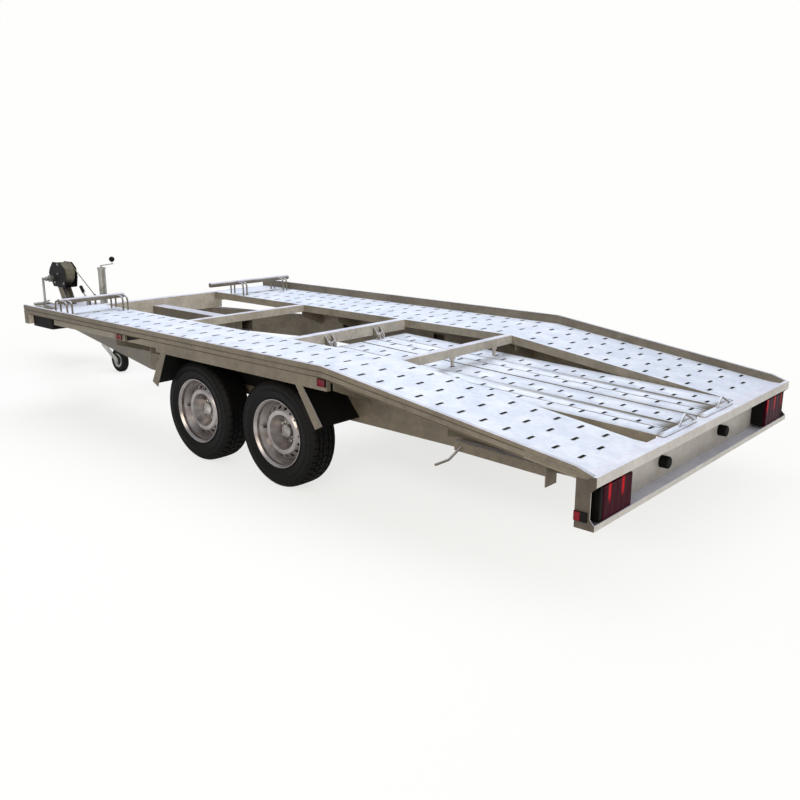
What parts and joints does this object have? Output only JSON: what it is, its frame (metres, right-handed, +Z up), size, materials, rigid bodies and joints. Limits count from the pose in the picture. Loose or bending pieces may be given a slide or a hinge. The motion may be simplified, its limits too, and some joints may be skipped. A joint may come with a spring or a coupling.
{
  "type": "car carrier trailer",
  "caption": "Car carrier trailer with tandem wheels, a perforated bed with a sloping tail, stowed ramps, prop legs, a hand winch and a jockey wheel.",
  "frame": {"origin": "bottom centre of the bounding box, on the road under the middle of the trailer", "axes": "+X towards the coupling, +Y to the left, +Z up"},
  "size_m": [6.48, 2.164, 0.967],
  "materials": {
    "galvanised_deck": "hot-dip galvanised sheet, pale blue grey",
    "galvanised_steel": "hot-dip galvanised steel, matt",
    "zinc_plated": "zinc plated",
    "winch_black": "black paint",
    "wire_rope": "laid steel rope",
    "black_plastic": "moulded black plastic",
    "black_rubber": "moulded rubber",
    "tyre": "black tyre rubber",
    "jockey_tyre": "solid rubber tyre",
    "rim_silver": "silver lacquer",
    "red_lens": "red lamp lens"
  },
  "bodies": {
    "trailer_frame": {"axle_front": "galvanised_steel", "axle_rear": "galvanised_steel", "centre_tube": "galvanised_steel", "chassis_beam_left": "galvanised_steel", "chassis_beam_right": "galvanised_steel", "coupling_gaiter": "black_rubber", "coupling_head": "zinc_plated", "cross_member_front": "galvanised_steel", "cross_member_middle": "galvanised_steel", "cross_member_rear": "galvanised_steel", "deck_plank_front_left": "galvanised_deck", "deck_plank_front_right": "galvanised_deck", "deck_plank_rear_left": "galvanised_deck", "deck_plank_rear_right": "galvanised_deck", "drawbar_bridge": "galvanised_steel", "drawbar_leg_left": "galvanised_steel", "drawbar_leg_right": "galvanised_steel", "edge_rail_left": "galvanised_steel", "edge_rail_right": "galvanised_steel", "front_beam": "galvanised_steel", "front_markers": "galvanised_steel", "hand_grips": "black_plastic", "handbrake_lever": "zinc_plated", "jockey_crank": "zinc_plated", "jockey_tube": "zinc_plated", "mudguard_left": "black_plastic", "mudguard_right": "black_plastic", "nose_plates": "galvanised_steel", "overrun_housing": "zinc_plated", "red_markers": "red_lens", "side_skirt_left": "galvanised_steel", "side_skirt_right": "galvanised_steel", "tail_beam": "galvanised_steel", "tail_buffers": "black_rubber", "tail_lamp_housings": "black_plastic", "tail_lamp_lenses": "red_lens", "tool_box": "black_plastic", "wheel_stop_left": "galvanised_steel", "wheel_stop_right": "galvanised_steel", "winch_crank": "zinc_plated", "winch_frame": "winch_black", "winch_post": "galvanised_steel", "winch_rope": "wire_rope"},
    "wheel_front_left": {"tyre_front_left": "tyre", "rim_front_left": "rim_silver"},
    "wheel_front_right": {"tyre_front_right": "tyre", "rim_front_right": "rim_silver"},
    "wheel_rear_left": {"tyre_rear_left": "tyre", "rim_rear_left": "rim_silver"},
    "wheel_rear_right": {"tyre_rear_right": "tyre", "rim_rear_right": "rim_silver"},
    "jockey_leg": {"jockey_slider": "zinc_plated"},
    "jockey_caster": {"jockey_fork": "zinc_plated"},
    "jockey_roller": {"jockey_wheel": "jockey_tyre"},
    "ramp_left_body": {"ramp_left": "galvanised_deck"},
    "ramp_right_body": {"ramp_right": "galvanised_deck"},
    "prop_left_body": {"prop_leg_left": "galvanised_steel"},
    "prop_right_body": {"prop_leg_right": "galvanised_steel"}
  },
  "joints": [
    {"name": "wheel_front_left_spin", "type": "hinge", "parent": "trailer_frame", "child": "wheel_front_left", "pos_m": [-0.6015, 0.9, 0.298], "axis": [0, 1, 0], "continuous": true},
    {"name": "wheel_front_right_spin", "type": "hinge", "parent": "trailer_frame", "child": "wheel_front_right", "pos_m": [-0.6015, -0.9, 0.298], "axis": [0, 1, 0], "continuous": true},
    {"name": "wheel_rear_left_spin", "type": "hinge", "parent": "trailer_frame", "child": "wheel_rear_left", "pos_m": [-1.294, 0.9, 0.298], "axis": [0, 1, 0], "continuous": true},
    {"name": "wheel_rear_right_spin", "type": "hinge", "parent": "trailer_frame", "child": "wheel_rear_right", "pos_m": [-1.294, -0.9, 0.298], "axis": [0, 1, 0], "continuous": true},
    {"name": "jockey_wind", "type": "slide", "parent": "trailer_frame", "child": "jockey_leg", "axis": [0, 0, 1], "range_m": [-0.08, 0.15]},
    {"name": "jockey_swivel", "type": "hinge", "parent": "jockey_leg", "child": "jockey_caster", "pos_m": [2.055, 0, 0.21], "axis": [0, 0, 1], "continuous": true},
    {"name": "jockey_roll", "type": "hinge", "parent": "jockey_caster", "child": "jockey_roller", "pos_m": [1.875, 0, 0.1], "axis": [0, 1, 0], "continuous": true},
    {"name": "ramp_left_lift", "type": "hinge", "parent": "trailer_frame", "child": "ramp_left_body", "pos_m": [-0.926, 0.215, 0.632], "axis": [0, 1, 0], "range_deg": [0, 0.8]},
    {"name": "ramp_right_lift", "type": "hinge", "parent": "trailer_frame", "child": "ramp_right_body", "pos_m": [-0.926, -0.215, 0.632], "axis": [0, 1, 0], "range_deg": [0, 0.8]},
    {"name": "prop_left_swing", "type": "hinge", "parent": "trailer_frame", "child": "prop_left_body", "pos_m": [-2.41, 0.809, 0.425], "axis": [0, -1, 0], "range_deg": [0, 50]},
    {"name": "prop_right_swing", "type": "hinge", "parent": "trailer_frame", "child": "prop_right_body", "pos_m": [-2.41, -0.809, 0.425], "axis": [0, -1, 0], "range_deg": [0, 50]}
  ]
}
